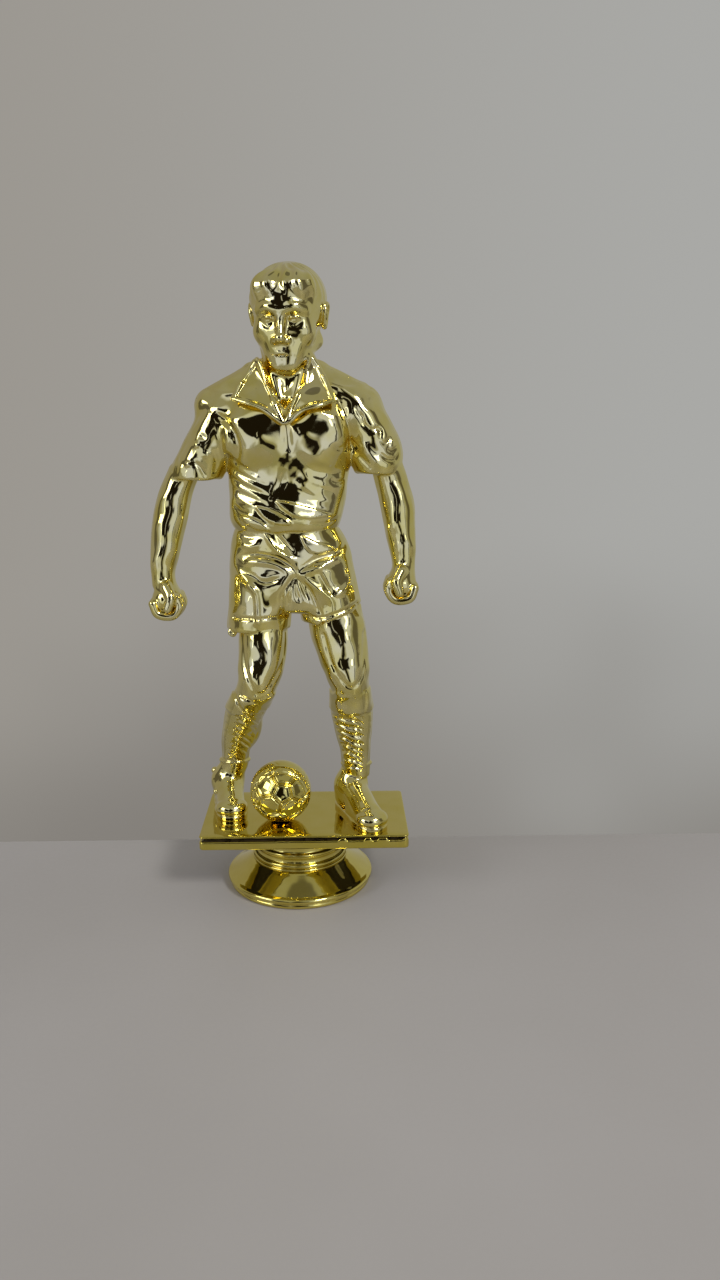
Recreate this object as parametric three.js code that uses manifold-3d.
// Football figure trophy: a metallised plastic player, hollow and moulded as a front and a back
// half-shell, standing with a ball on a two-piece platform over a collar and a flared round foot.
// A hexagon bolt, washer and nut tie platform, collar and foot together.
//
// Millimetres, +Z up. Every dimension below is measured from the centre of the foot's underside.
// The player faces -Y, and "right" and "left" in names are the player's own: the right arm and
// leg are on the -X side. The arms reach further on that side, so at the end the whole assembly
// is moved along X by CENTRING, which puts the origin at the bottom centre of its outer box.
import * as THREE from "three";
import { LoftGeometry } from "three/addons/geometries/LoftGeometry.js";
import { mergeVertices } from "three/addons/utils/BufferGeometryUtils.js";
import Module from "manifold-3d";

const wasm = await Module();
wasm.setup();

// ---- Driving dimensions -------------------------------------------------------------------
const CENTRING = 4.15;
const FOOT_X = -1; // the foot and its bolt stand a little off the platform's middle
const FOOT_RADIUS = 20; // widest point of the flared foot
const FOOT_TOP = 7.4; // height of the foot, where the collar sits
const FOOT_WALL = 1.5;
const COLLAR_RADIUS = 12; // at its beads it is a little more
const PLATFORM = { x: 0.7, width: 55, depth: 31, corner: 1.2, bottom: 15.2, split: 18.1, top: 19 };
const TRAY_WALL = 1.5;
const TRAY_FLOOR = 1;
const SHELL_WALL = 1.4;
const PARTING_GAP = 0.3; // glue line between the front and back halves
const CLEARANCE = 0.3; // around screws, pegs and pins
const BOLT = { shank: 2, head: 4.04, headTop: 11, headBottom: 8.2, end: 0.6 };
const SCREW = { shank: 0.9, head: 1.9, headHeight: 1.2, tip: 24.5 };
const BALL = { x: -5.8, y: -4, radius: 8.4, peg: 2 };
const BALL_CENTRE_Z = PLATFORM.top + BALL.radius - 0.2; // its underside is slightly flattened

const RIGHT_SCREW = { x: -20.2, y: 6.8 }; // into the back half of the right boot
const LEFT_SCREW = { x: 17.2, y: -5.4 }; // into the front half of the left boot

const ROUND = 56; // sides of the turned pedestal pieces
const LIMB = 14; // sides of arms and legs
const BODY = 18; // sides of the trunk and the head
const SLIVER = 0.03; // edges shorter than this that a boolean leaves are collapsed

// ---- Materials ----------------------------------------------------------------------------
const GOLD = { color: 0xe6cf6e, roughness: 0.06, metalness: 1 };
const STEEL = { color: 0xb4b6ba, roughness: 0.3, metalness: 1 };

// ---- Solids -------------------------------------------------------------------------------
// A closed three.js geometry as a manifold-3d solid. LoftGeometry and LatheGeometry repeat
// vertices along their seams, so equal positions are merged first.
function solid(geometry, matrix) {
  const bare = new THREE.BufferGeometry();
  bare.setAttribute("position", geometry.getAttribute("position"));
  bare.setIndex(geometry.getIndex());
  if (matrix) bare.applyMatrix4(matrix);
  const merged = mergeVertices(bare, 1e-4);
  const kept = [];
  const index = merged.index.array;
  for (let i = 0; i < index.length; i += 3) {
    const [a, b, c] = index.slice(i, i + 3);
    if (a !== b && b !== c && c !== a) kept.push(a, b, c);
  }
  return new wasm.Manifold(
    new wasm.Mesh({
      numProp: 3,
      vertProperties: merged.attributes.position.array,
      triVerts: new Uint32Array(kept),
    }),
  );
}

function geometryOf(made) {
  const { vertProperties, triVerts, numProp } = made.simplify(SLIVER).getMesh();
  const positions = new Float32Array((vertProperties.length / numProp) * 3);
  for (let i = 0; i * numProp < vertProperties.length; i++)
    positions.set(vertProperties.subarray(i * numProp, i * numProp + 3), i * 3);
  const geometry = new THREE.BufferGeometry();
  geometry.setAttribute("position", new THREE.BufferAttribute(positions, 3));
  geometry.setIndex(new THREE.BufferAttribute(new Uint32Array(triVerts), 1));
  geometry.computeVertexNormals();
  return geometry;
}

const union = (solids) => solids.reduce((sum, next) => sum.add(next));

// A turned solid about the Z axis from [radius, z] points that start and end on the axis, listed
// from the bottom up.
function turned(points, sides = ROUND) {
  const profile = points.map(([radius, z]) => new THREE.Vector2(radius, z));
  const matrix = new THREE.Matrix4()
    .makeTranslation(FOOT_X, 0, 0)
    .multiply(new THREE.Matrix4().makeRotationX(Math.PI / 2));
  return solid(new THREE.LatheGeometry(profile, sides), matrix);
}

// An upright cylinder or prism between two heights.
function rod(x, y, radius, bottom, top, sides = 20) {
  const geometry = new THREE.CylinderGeometry(radius, radius, top - bottom, sides);
  const matrix = new THREE.Matrix4()
    .makeTranslation(x, y, (top + bottom) / 2)
    .multiply(new THREE.Matrix4().makeRotationX(Math.PI / 2));
  return solid(geometry, matrix);
}

// The same on the axis of the foot and its bolt.
function axial(radius, bottom, top, sides) {
  return rod(FOOT_X, 0, radius, bottom, top, sides);
}

// A cylinder along Y between two depths.
function pin(x, z, radius, front, back, sides = 12) {
  const geometry = new THREE.CylinderGeometry(radius, radius, back - front, sides);
  return solid(geometry, new THREE.Matrix4().makeTranslation(x, (front + back) / 2, z));
}

// A rectangular slab with rounded vertical corners, centred on the Z axis.
function slab(width, depth, corner, bottom, top) {
  const [w, d] = [width / 2, depth / 2];
  const outline = new THREE.Shape();
  outline.moveTo(w - corner, -d);
  outline.absarc(w - corner, corner - d, corner, -Math.PI / 2, 0);
  outline.absarc(w - corner, d - corner, corner, 0, Math.PI / 2);
  outline.absarc(corner - w, d - corner, corner, Math.PI / 2, Math.PI);
  outline.absarc(corner - w, corner - d, corner, Math.PI, Math.PI * 1.5);
  const geometry = new THREE.ExtrudeGeometry(outline, {
    depth: top - bottom,
    bevelEnabled: false,
    curveSegments: 4,
  });
  return solid(geometry, new THREE.Matrix4().makeTranslation(PLATFORM.x, 0, bottom));
}

// A body part lofted through level ellipses. Each row is [z, centre x, centre y, half width,
// half depth], from the bottom up, and turn swings the ellipses about Z. The inset shrinks the
// part all round, which gives the hollow inside it.
function stack(rows, { sides = LIMB, inset = 0, turn = 0 } = {}) {
  const last = rows.length - 1;
  const sections = rows.map(([z, x, y, halfWidth, halfDepth], i) => {
    const level = z + (i === 0 ? inset : i === last ? -inset : 0);
    const centre = new THREE.Vector3(x, y, level);
    return Array.from({ length: sides }, (_, k) => {
      const angle = (k / sides) * Math.PI * 2;
      return new THREE.Vector3(
        Math.cos(angle) * Math.max(halfWidth - inset, 0.4),
        Math.sin(angle) * Math.max(halfDepth - inset, 0.4),
        0,
      )
        .applyAxisAngle(new THREE.Vector3(0, 0, 1), turn)
        .add(centre);
    });
  });
  return solid(new LoftGeometry(sections, { capStart: true, capEnd: true }));
}

// ---- The player's body, as stacks of [z, x, y, half width, half depth] ----------------------
const HEAD = [
  [137.4, -3.2, -6.4, 3.0, 2.6],
  [139.5, -3.0, -4.8, 4.7, 4.9],
  [143.2, -2.5, -2.6, 6.2, 7.6],
  [146.3, -2.1, -1.4, 7.5, 9.0],
  [150.0, -2.0, -0.8, 8.5, 9.7],
  [154.0, -1.9, -0.4, 8.8, 9.9],
  [157.6, -1.9, 0, 7.7, 8.5],
  [160.2, -1.9, 0.2, 5.6, 6.2],
];
const HEAD_TURN = THREE.MathUtils.degToRad(-10); // towards the right arm
const HAIR = [
  [143.4, -1.7, 3.6, 5.2, 4.4],
  [146.6, -1.6, 2.9, 8.2, 6.8],
  [150.6, -1.7, 2.3, 9.1, 8.4],
  [154.2, -1.9, 0.6, 9.3, 10.3],
  [157.2, -1.9, 0, 8.6, 10.4],
  [160.2, -1.9, 0.2, 6.2, 7.6],
  [162, -1.9, 0.4, 2.4, 3.0],
];
const NOSE = [
  [144.8, -3.7, -9.5, 1.0, 0.9],
  [146.0, -3.8, -10.5, 1.5, 1.5],
  [148.6, -3.7, -10.1, 1.0, 1.1],
  [151.4, -3.6, -9.7, 0.8, 0.7],
];
const RIGHT_EAR = [
  [145.6, -9.6, -0.4, 0.8, 1.0],
  [149.2, -10.3, 0.2, 1.1, 1.9],
  [152.2, -10.4, 0.5, 0.9, 1.3],
];
const LEFT_EAR = [
  [145.6, 5.7, 0.4, 0.8, 1.0],
  [149.2, 6.5, 1.0, 1.1, 1.9],
  [152.2, 6.7, 1.3, 0.9, 1.3],
];
const NECK = [
  [130, -2.6, 1.2, 6.4, 6.2],
  [138, -2.6, 0.8, 5.7, 5.7],
  [146, -2.4, 0.4, 5.5, 5.6],
];
const COLLAR_BAND = [
  [131, -3, 0.8, 9.6, 8.0],
  [136, -3.1, 1.0, 7.9, 7.3],
  [139.4, -3.1, 1.2, 7.1, 6.9],
];
const SHIRT = [
  [97.2, -3.4, 0, 12.6, 8.2],
  [99.2, -3.4, 0, 13.6, 9.0],
  [103, -3.0, 0, 14.5, 8.9],
  [108, -2.7, 0, 15.0, 8.8],
  [113, -2.4, 0, 15.4, 9.2],
  [119, -2.5, 0, 16.4, 9.8],
  [125, -2.6, 0.2, 17.0, 9.6],
  [130, -2.7, 0.5, 15.6, 8.6],
  [134, -2.8, 0.8, 12.8, 7.4],
  [137, -2.9, 1.0, 9.0, 6.2],
];
const RIGHT_SLEEVE = [
  [110, -26.4, 0.8, 6.5, 6.2],
  [113, -25.2, 0.8, 6.8, 6.5],
  [117.4, -23, 0.8, 6.7, 6.7],
  [125, -18.7, 0.8, 6.5, 6.9],
  [130, -16.9, 0.8, 5.6, 6.2],
  [134, -13.6, 0.8, 4.2, 5.0],
];
const LEFT_SLEEVE = [
  [111.4, 20.2, 0.8, 5.4, 5.8],
  [113.6, 20.0, 0.8, 6.1, 6.3],
  [119.6, 19.1, 0.8, 6.6, 6.7],
  [124, 16.6, 0.8, 6.6, 6.9],
  [130, 13.6, 0.8, 5.9, 6.2],
  [134.2, 10.4, 0.8, 4.4, 5.0],
];
const RIGHT_FOREARM = [
  [83.5, -35.0, -1.6, 3.2, 3.4],
  [88, -35.1, -1.2, 3.3, 3.4],
  [95, -33.9, -0.4, 3.9, 4.0],
  [102, -32.6, 0.3, 4.3, 4.4],
  [107.5, -31.2, 0.8, 4.1, 4.3],
  [112.5, -28.6, 0.8, 4.0, 4.2],
];
const LEFT_FOREARM = [
  [86.5, 27.1, -1.6, 3.1, 3.3],
  [91, 26.8, -1.1, 3.3, 3.4],
  [97.5, 26.0, -0.4, 3.8, 3.9],
  [104.5, 25.1, 0.3, 4.3, 4.4],
  [109.8, 23.8, 0.8, 4.2, 4.3],
  [114, 22.2, 0.8, 4.0, 4.2],
];
const RIGHT_FIST = [
  [75.3, -34.3, -2.2, 2.6, 2.8],
  [77.4, -34.2, -2.2, 4.5, 4.8],
  [80.4, -34.2, -2.1, 4.8, 5.2],
  [83.4, -34.6, -1.9, 3.9, 4.4],
  [85.4, -34.9, -1.6, 3.1, 3.5],
];
const LEFT_FIST = [
  [79.1, 26.3, -2.2, 2.6, 2.8],
  [81.2, 26.2, -2.2, 4.3, 4.8],
  [84, 26.3, -2.1, 4.4, 5.1],
  [86.6, 26.8, -1.9, 3.7, 4.3],
  [88.4, 27.1, -1.6, 3.1, 3.5],
];
const SHORTS_SEAT = [
  [76.4, -1.7, 0.2, 15.2, 7.6],
  [80, -1.9, 0.2, 16.1, 9.0],
  [86, -2.0, 0.2, 16.0, 9.4],
  [91, -2.2, 0.2, 15.4, 9.0],
  [95, -2.7, 0.1, 14.4, 8.4],
  [98.4, -3.3, 0, 12.4, 7.8],
];
const RIGHT_SHORTS_LEG = [
  [71.2, -10.7, -0.6, 8.0, 7.9],
  [75, -10.5, -0.4, 8.2, 8.2],
  [82, -9.8, 0, 8.2, 8.4],
];
const LEFT_SHORTS_LEG = [
  [74.2, 8.6, -0.4, 7.8, 8.0],
  [78, 8.0, -0.2, 7.9, 8.3],
  [84, 7.0, 0, 7.9, 8.4],
];
const RIGHT_LEG = [
  [31, -19.0, 7.0, 3.7, 4.2],
  [35, -18.7, 6.4, 3.8, 4.4],
  [39, -18.1, 5.2, 4.1, 4.8],
  [44, -16.6, 3.2, 4.8, 5.5],
  [49, -14.7, 0.9, 5.6, 6.1],
  [53, -13.0, -1.6, 5.7, 6.2],
  [57, -11.4, -3.2, 5.4, 6.1],
  [63, -10.3, -2.4, 5.9, 6.6],
  [69, -9.8, -1.2, 6.1, 6.9],
  [76, -9.6, -0.4, 6.2, 7.0],
];
const LEFT_LEG = [
  [28, 14.8, 3.6, 3.8, 4.3],
  [32, 14.7, 3.4, 3.8, 4.4],
  [37, 14.4, 2.9, 4.1, 4.9],
  [43, 14.0, 2.2, 5.1, 5.8],
  [48, 13.5, 1.4, 5.9, 6.3],
  [52, 13.2, -0.4, 5.4, 6.0],
  [57, 12.9, -1.8, 5.2, 5.9],
  [63, 11.7, -1.4, 6.4, 6.6],
  [69, 9.8, -0.8, 7.4, 7.0],
  [77, 8.9, -0.4, 6.9, 7.0],
];
const RIGHT_SOCK_TOP = [
  [48.4, -14.9, 1.2, 5.5, 6.2],
  [49.6, -14.4, 0.7, 6.2, 6.6],
  [54.6, -12.3, -2.2, 6.0, 6.5],
  [55.8, -11.9, -2.6, 5.5, 6.1],
];
const LEFT_SOCK_TOP = [
  [48.0, 13.5, 1.4, 5.8, 6.2],
  [49.2, 13.4, 1.1, 6.3, 6.7],
  [54.4, 13.0, -1.0, 5.8, 6.4],
  [55.6, 12.9, -1.3, 5.3, 6.0],
];
const RIGHT_BOOT = [
  [PLATFORM.top, -19.3, 3.8, 4.0, 9.3],
  [20.3, -19.3, 3.8, 4.4, 9.7],
  [21.4, -19.3, 3.8, 4.2, 9.5],
  [23.4, -19.4, 4.2, 4.1, 8.6],
  [26, -19.5, 5.6, 4.0, 6.6],
  [29, -19.3, 6.8, 3.9, 5.1],
  [33.4, -18.9, 7.0, 4.2, 4.7],
];
const LEFT_BOOT = [
  [PLATFORM.top, 15.9, -3.5, 4.1, 10.8],
  [20.3, 15.9, -3.5, 4.5, 11.2],
  [21.4, 15.9, -3.4, 4.3, 10.9],
  [23.4, 15.7, -2.6, 4.2, 9.6],
  [26, 15.2, -0.4, 4.1, 7.2],
  [28.6, 14.8, 2.0, 4.1, 5.4],
  [32.2, 14.7, 3.4, 4.2, 4.7],
];
const RIGHT_BOOT_TURN = THREE.MathUtils.degToRad(8); // toes slightly inwards, towards the ball
const LEFT_BOOT_TURN = THREE.MathUtils.degToRad(22); // toes outwards

// The outer body, or the space inside it when inset is the shell's wall. Fists and boots are
// too slim to be hollow, so the cavity leaves them solid.
function playerBody(inset = 0) {
  const trunk = [SHIRT, SHORTS_SEAT].map((rows) => stack(rows, { sides: BODY, inset }));
  trunk.push(stack(HEAD, { sides: BODY, inset, turn: HEAD_TURN }));
  const limbs = [
    NECK,
    RIGHT_SLEEVE,
    LEFT_SLEEVE,
    RIGHT_FOREARM,
    LEFT_FOREARM,
    RIGHT_SHORTS_LEG,
    LEFT_SHORTS_LEG,
    RIGHT_LEG,
    LEFT_LEG,
  ].map((rows) => stack(rows, { inset }));
  if (inset) return union([...trunk, ...limbs]);
  const dressing = [
    stack(HAIR, { sides: BODY, turn: HEAD_TURN }),
    stack(NOSE, { sides: 8, turn: HEAD_TURN }),
    stack(RIGHT_EAR, { sides: 8 }),
    stack(LEFT_EAR, { sides: 8 }),
    stack(COLLAR_BAND, { sides: BODY }),
    stack(RIGHT_FIST),
    stack(LEFT_FIST),
    stack(RIGHT_SOCK_TOP),
    stack(LEFT_SOCK_TOP),
    stack(RIGHT_BOOT, { turn: RIGHT_BOOT_TURN }),
    stack(LEFT_BOOT, { turn: LEFT_BOOT_TURN }),
    ...collarWings(),
  ];
  return union([...trunk, ...limbs, ...dressing]);
}

// The shirt's two collar points, as flat leaves on the chest either side of the V. They lean
// back with the chest, about a level line at the hinge height.
const WING = { depth: 4.4, back: -4.6, hinge: 131, lean: THREE.MathUtils.degToRad(14) };

function collarWings() {
  const leaves = [
    [
      [-3.9, 124.2],
      [-7.6, 136.2],
      [-10.2, 138.4],
      [-15.2, 130.1],
    ],
    [
      [-2.9, 124.2],
      [8.4, 130.2],
      [3.8, 139.2],
      [1.4, 136.6],
    ],
  ];
  return leaves.map((corners) => {
    const shape = new THREE.Shape(corners.map(([x, z]) => new THREE.Vector2(x, z)));
    const leaf = new THREE.ExtrudeGeometry(shape, { depth: WING.depth, bevelEnabled: false });
    const upright = new THREE.Matrix4()
      .makeTranslation(0, WING.back, WING.hinge)
      .multiply(new THREE.Matrix4().makeRotationX(Math.PI / 2 - WING.lean))
      .multiply(new THREE.Matrix4().makeTranslation(0, -WING.hinge, 0));
    return solid(leaf, upright);
  });
}

// ---- The parting surface between front and back ---------------------------------------------
// Each line is [z, y] from the soles up. The right leg stands further back than the left one, so
// below the crotch each leg has its own line.
const CROTCH_Z = 76;
const PARTING_ABOVE = [
  [CROTCH_Z, -2.2],
  [100, -1.2],
  [134, -0.8],
  [150, -1.6],
  [170, -1.6],
];
const PARTING_RIGHT_LEG = [
  [10, 3.4],
  [24, 4.0],
  [34, 5.2],
  [44, 1.8],
  [57, -4],
  [CROTCH_Z, -2.2],
];
const PARTING_LEFT_LEG = [
  [10, -0.6],
  [24, 0.6],
  [34, 1.8],
  [48, 0.2],
  [57, -2.8],
  [CROTCH_Z, -2.2],
];
const LEG_DIVIDE_X = -2; // between the legs
const FAR = 60; // beyond the player in every direction

// Everything on one side of the parting line between two x values: direction is -1 for the
// front and 1 for the back.
function partingBlock(line, direction, left, right) {
  const shift = (direction * PARTING_GAP) / 2;
  const outline = line.map(([z, y]) => new THREE.Vector2(y + shift, z));
  outline.push(new THREE.Vector2(direction * FAR, line.at(-1)[0]));
  outline.push(new THREE.Vector2(direction * FAR, line[0][0]));
  const geometry = new THREE.ExtrudeGeometry(new THREE.Shape(outline), {
    depth: right - left,
    bevelEnabled: false,
  });
  // The shape's x becomes Y, its y becomes Z, and the extrusion runs along X.
  const basis = new THREE.Matrix4().makeBasis(
    new THREE.Vector3(0, 1, 0),
    new THREE.Vector3(0, 0, 1),
    new THREE.Vector3(1, 0, 0),
  );
  return solid(geometry, new THREE.Matrix4().makeTranslation(left, 0, 0).multiply(basis));
}

function partingHalf(direction) {
  return union([
    partingBlock(PARTING_ABOVE, direction, -FAR, FAR),
    partingBlock(PARTING_RIGHT_LEG, direction, -FAR, LEG_DIVIDE_X),
    partingBlock(PARTING_LEFT_LEG, direction, LEG_DIVIDE_X, FAR),
  ]);
}

// ---- The player's two half-shells -----------------------------------------------------------
const PINS = [
  { x: -1.9, z: 151, front: -8.4, back: 8.6 }, // head
  { x: -2.6, z: 120, front: -8.2, back: 8.4 }, // chest
  { x: -2.2, z: 86, front: -7.9, back: 8.2 }, // hips
];
const PIN = { radius: 1.3, socket: 2.8, tip: -5.4, mouth: -2.4 };

function playerShells() {
  const outer = playerBody();
  const cavity = playerBody(SHELL_WALL);
  let wall = outer.subtract(cavity);
  for (const { x, y } of [RIGHT_SCREW, LEFT_SCREW])
    wall = wall.subtract(rod(x, y, SCREW.shank + CLEARANCE, PLATFORM.top - 1, SCREW.tip + 0.5, 12));
  let front = wall.intersect(partingHalf(-1));
  let back = wall.intersect(partingHalf(1));
  for (const { x, z, front: ahead, back: behind } of PINS) {
    front = front
      .add(pin(x, z, PIN.socket, ahead, PIN.mouth))
      .subtract(pin(x, z, PIN.radius + CLEARANCE, PIN.tip - CLEARANCE, FAR));
    back = back.add(pin(x, z, PIN.radius, PIN.tip, behind));
  }
  return { front, back };
}

// ---- The ball --------------------------------------------------------------------------------
// Hollow, in two halves that part on the ball's own centre plane, with a half-round peg under each.
const BALL_PEG_BOTTOM = PLATFORM.split - 0.6;

function ballHalf(direction) {
  const centre = new THREE.Matrix4().makeTranslation(BALL.x, BALL.y, BALL_CENTRE_Z);
  const outside = solid(new THREE.SphereGeometry(BALL.radius, 28, 18), centre);
  const inside = solid(new THREE.SphereGeometry(BALL.radius - SHELL_WALL, 16, 10), centre);
  const above = slab(60, 60, 1, PLATFORM.top, 60);
  const peg = rod(BALL.x, BALL.y, BALL.peg, BALL_PEG_BOTTOM, PLATFORM.top + 1.4, 16);
  const whole = outside.subtract(inside).intersect(above).add(peg);
  const edge = BALL.y + (direction * PARTING_GAP) / 2;
  const half = new THREE.BoxGeometry(FAR, FAR, FAR);
  const place = new THREE.Matrix4().makeTranslation(0, edge + (direction * FAR) / 2, FAR / 2);
  return whole.intersect(solid(half, place));
}

// ---- Platform, collar and foot --------------------------------------------------------------
const SCREW_HOLES = [RIGHT_SCREW, LEFT_SCREW];
const BOSS_RADIUS = 2.4; // spacers in the tray round each screw
const WELL = { radius: 6.2, wall: 1.2 }; // the tray's well, which holds the bolt's head

function platformTopPlate() {
  const { width, depth, corner, split, top } = PLATFORM;
  let plate = slab(width, depth, corner, split, top);
  for (const { x, y } of SCREW_HOLES)
    plate = plate.subtract(rod(x, y, SCREW.shank + CLEARANCE, split - 1, top + 1, 12));
  return plate.subtract(rod(BALL.x, BALL.y, BALL.peg + CLEARANCE, split - 1, top + 1, 16));
}

function platformTray() {
  const { width, depth, corner, bottom, split } = PLATFORM;
  const floor = bottom + TRAY_FLOOR;
  const inner = slab(width - 2 * TRAY_WALL, depth - 2 * TRAY_WALL, corner, floor, split + 1);
  let tray = slab(width, depth, corner, bottom, split).subtract(inner);
  const wellBottom = BOLT.headBottom - 0.1;
  tray = tray
    .add(axial(WELL.radius + WELL.wall, FOOT_TOP, bottom + 0.5, 24))
    .subtract(axial(WELL.radius, wellBottom, split + 1, 24))
    .subtract(axial(BOLT.shank + CLEARANCE, 0, wellBottom + 1));
  for (const { x, y } of SCREW_HOLES)
    tray = tray
      .add(rod(x, y, BOSS_RADIUS, bottom + 0.2, split, 14))
      .subtract(rod(x, y, SCREW.shank + CLEARANCE, 0, split + 1, 12));
  return tray;
}

function collarRing() {
  const [r, low, high] = [COLLAR_RADIUS, FOOT_TOP, PLATFORM.bottom];
  const inner = WELL.radius + WELL.wall + CLEARANCE;
  const band = turned([
    [0, low],
    [r + 0.9, low],
    [r + 1.1, low + 0.3],
    [r + 0.6, low + 0.6],
    [r + 0.9, low + 1.1],
    [r + 0.5, low + 1.6],
    [r - 0.1, low + 1.9],
    [r - 0.2, low + 2.7],
    [r, low + 3.4],
    [r + 0.5, low + 3.8],
    [r + 0.4, low + 4.4],
    [r - 0.2, low + 4.7],
    [r - 0.3, low + 6],
    [r + 0.2, high],
    [0, high],
  ]);
  return band.subtract(axial(inner, 0, 20, 28));
}

function pedestalFoot() {
  const r = FOOT_RADIUS;
  const outside = turned([
    [0, 0],
    [r - 1.4, 0],
    [r - 0.8, 0.3],
    [r - 0.6, 0.8],
    [r - 0.9, 1.3],
    [r - 0.3, 1.6],
    [r, 2.2],
    [r - 0.7, 3],
    [r - 3.7, 5],
    [r - 6.5, FOOT_TOP - 0.3],
    [r - 7.1, FOOT_TOP],
    [0, FOOT_TOP],
  ]);
  const web = FOOT_TOP - FOOT_WALL;
  const hollow = turned([
    [0, -1],
    [r - 1 - FOOT_WALL, -1],
    [r - 1 - FOOT_WALL, 2.2],
    [r - 5.5 - FOOT_WALL, web - 0.6],
    [r - 6.1 - FOOT_WALL, web],
    [0, web],
  ]);
  return outside.subtract(hollow).subtract(axial(BOLT.shank + CLEARANCE, 0, 20));
}

// ---- Fixings --------------------------------------------------------------------------------
const NUT_HEIGHT = 3.2;
const WASHER = { radius: 4.6, height: 0.8 };

function tieBolt() {
  const head = axial(BOLT.head, BOLT.headBottom, BOLT.headTop, 6);
  return head.add(axial(BOLT.shank, BOLT.end, BOLT.headBottom + 1));
}

function ringUnder(top, height, radius, sides) {
  const bore = axial(BOLT.shank + CLEARANCE / 2, top - height - 1, top + 1);
  return axial(radius, top - height, top, sides).subtract(bore);
}

function bootScrew({ x, y }) {
  const under = PLATFORM.bottom;
  const head = rod(x, y, SCREW.head, under - SCREW.headHeight, under, 14);
  const tip = new THREE.Matrix4()
    .makeTranslation(x, y, SCREW.tip - 1)
    .multiply(new THREE.Matrix4().makeRotationX(Math.PI / 2));
  const point = solid(new THREE.CylinderGeometry(0.15, SCREW.shank, 2, 10), tip);
  const slot = solid(
    new THREE.BoxGeometry(2 * SCREW.head + 1, 0.5, 1),
    new THREE.Matrix4().makeTranslation(x, y, under - SCREW.headHeight),
  );
  return head
    .add(rod(x, y, SCREW.shank, under - 0.2, SCREW.tip - 2, 10))
    .add(point)
    .subtract(slot);
}

// ---- Assembly -------------------------------------------------------------------------------
const trophy = new THREE.Group();
const pieces = new THREE.Group();
pieces.position.x = CENTRING;
trophy.add(pieces);

function place(name, made, look) {
  const mesh = new THREE.Mesh(geometryOf(made), new THREE.MeshStandardMaterial(look));
  mesh.name = name;
  pieces.add(mesh);
}

const { front, back } = playerShells();
place("player_front_shell", front, GOLD);
place("player_back_shell", back, GOLD);
place("ball_front_half", ballHalf(-1), GOLD);
place("ball_back_half", ballHalf(1), GOLD);
place("platform_top_plate", platformTopPlate(), GOLD);
place("platform_tray", platformTray(), GOLD);
place("collar_ring", collarRing(), GOLD);
place("pedestal_foot", pedestalFoot(), GOLD);
place("tie_bolt", tieBolt(), STEEL);
place("tie_washer", ringUnder(FOOT_TOP - FOOT_WALL, WASHER.height, WASHER.radius, 24), STEEL);
place("tie_nut", ringUnder(FOOT_TOP - FOOT_WALL - WASHER.height, NUT_HEIGHT, BOLT.head, 6), STEEL);
place("right_boot_screw", bootScrew(RIGHT_SCREW), STEEL);
place("left_boot_screw", bootScrew(LEFT_SCREW), STEEL);

export default trophy;
